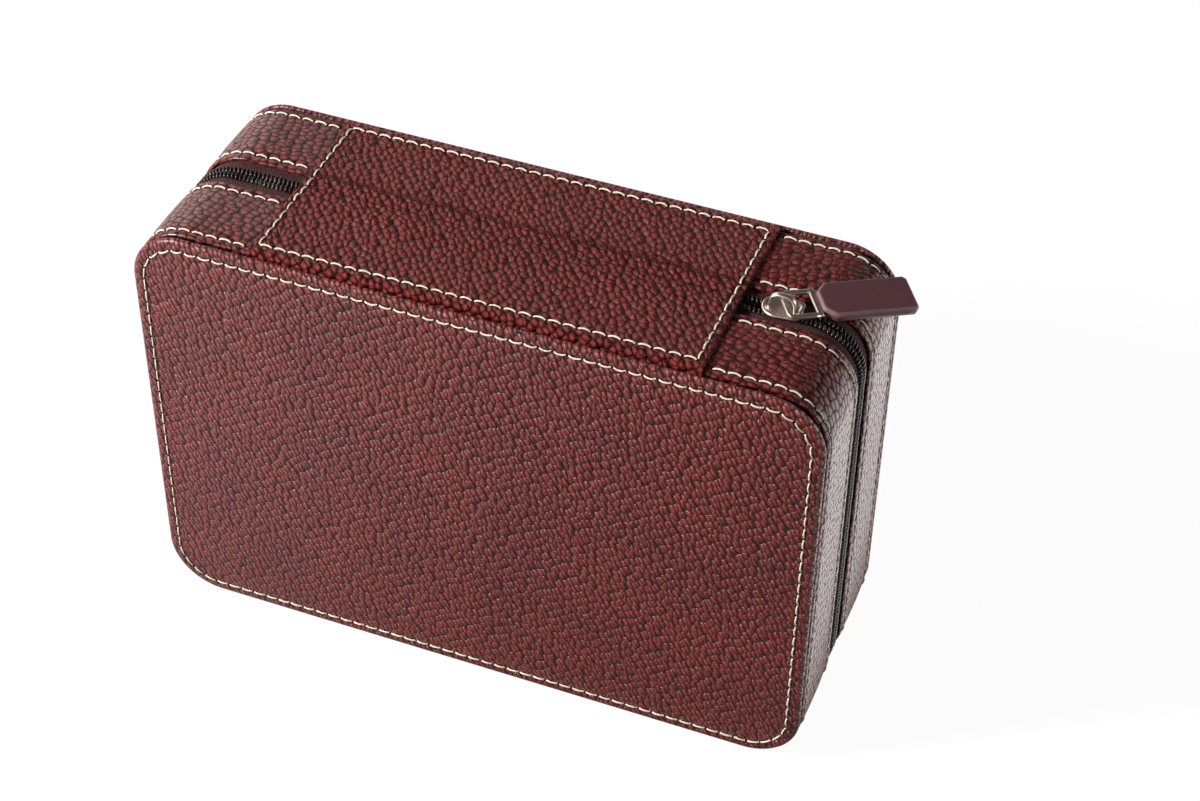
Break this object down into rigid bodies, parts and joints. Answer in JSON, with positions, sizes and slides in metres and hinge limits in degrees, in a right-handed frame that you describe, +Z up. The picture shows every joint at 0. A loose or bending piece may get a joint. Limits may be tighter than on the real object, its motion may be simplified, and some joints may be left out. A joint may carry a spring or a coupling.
{
  "type": "watch travel case",
  "caption": "Zip-round leather travel case: half shells open like a book on a leather spine, with cushioned watch places inside and a slider with a pull tab.",
  "frame": {"origin": "middle of the base half's standing face, where the rear band meets the floor", "axes": "+X along the case towards the slider, +Y through its depth from lid to base, +Z up"},
  "size_m": [0.251, 0.0839, 0.1676],
  "materials": {
    "leather": "pebbled oxblood leather with a soft sheen",
    "tab_cover": "matte maroon moulding, bare",
    "board": "dark moulded board",
    "lining_suede": "short suede nap",
    "divider_suede": "suede-covered board",
    "cushion_suede": "padded suede",
    "zip_tape": "herringbone woven tape",
    "zip_coil": "dark nylon coil",
    "nickel": "warm polished nickel"
  },
  "bodies": {
    "base": {"base_shell": "board", "base_lining": "lining_suede", "base_side_band": "leather", "base_face_board": "board", "base_face_leather": "leather", "base_zip_tape": "zip_tape", "base_zip_coil": "zip_coil", "base_top_stop": "nickel", "zip_bottom_stop": "nickel", "spine_rear_flap": "leather", "long_divider": "divider_suede", "cross_divider_1": "divider_suede", "cross_divider_2": "divider_suede", "cross_divider_3": "divider_suede", "watch_cushion_1": "cushion_suede", "watch_cushion_2": "cushion_suede", "watch_cushion_3": "cushion_suede", "watch_cushion_4": "cushion_suede", "watch_cushion_5": "cushion_suede", "watch_cushion_6": "cushion_suede", "watch_cushion_7": "cushion_suede", "watch_cushion_8": "cushion_suede"},
    "spine": {"spine_fold_strip": "leather", "hinge_gusset": "lining_suede"},
    "lid": {"lid_shell": "board", "lid_lining": "lining_suede", "lid_side_band": "leather", "lid_face_board": "board", "lid_face_leather": "leather", "lid_zip_tape": "zip_tape", "lid_zip_coil": "zip_coil", "lid_top_stop": "nickel", "spine_front_flap": "leather", "lid_pad": "cushion_suede"},
    "slider": {"slider_body": "nickel", "slider_bridge": "nickel"},
    "puller": {"puller_loop": "nickel", "puller_tab": "tab_cover"}
  },
  "joints": [
    {"name": "lid_fold", "type": "hinge", "parent": "spine", "child": "lid", "pos_m": [0, -0.02965, 0.1631], "axis": [-1, 0, 0], "range_deg": [0, 90], "deforming": ["base_zip_tape", "lid_zip_tape"]},
    {"name": "spine_fold", "type": "hinge", "parent": "base", "child": "spine", "pos_m": [0, -0.01565, 0.1631], "axis": [-1, 0, 0], "range_deg": [0, 90]},
    {"name": "slider_run", "type": "slide", "parent": "base", "child": "slider", "axis": [1, 0, 0], "range_m": [0, 0.008], "deforming": ["base_zip_coil", "lid_zip_coil"]},
    {"name": "puller_swing", "type": "hinge", "parent": "slider", "child": "puller", "pos_m": [0.0912, -0.02265, 0.16525], "axis": [0.584, -0.7998, -0.1384], "range_deg": [0, 90]}
  ],
  "couplings": [
    {"joint": "spine_fold", "follows": "lid_fold", "ratio": 1}
  ]
}
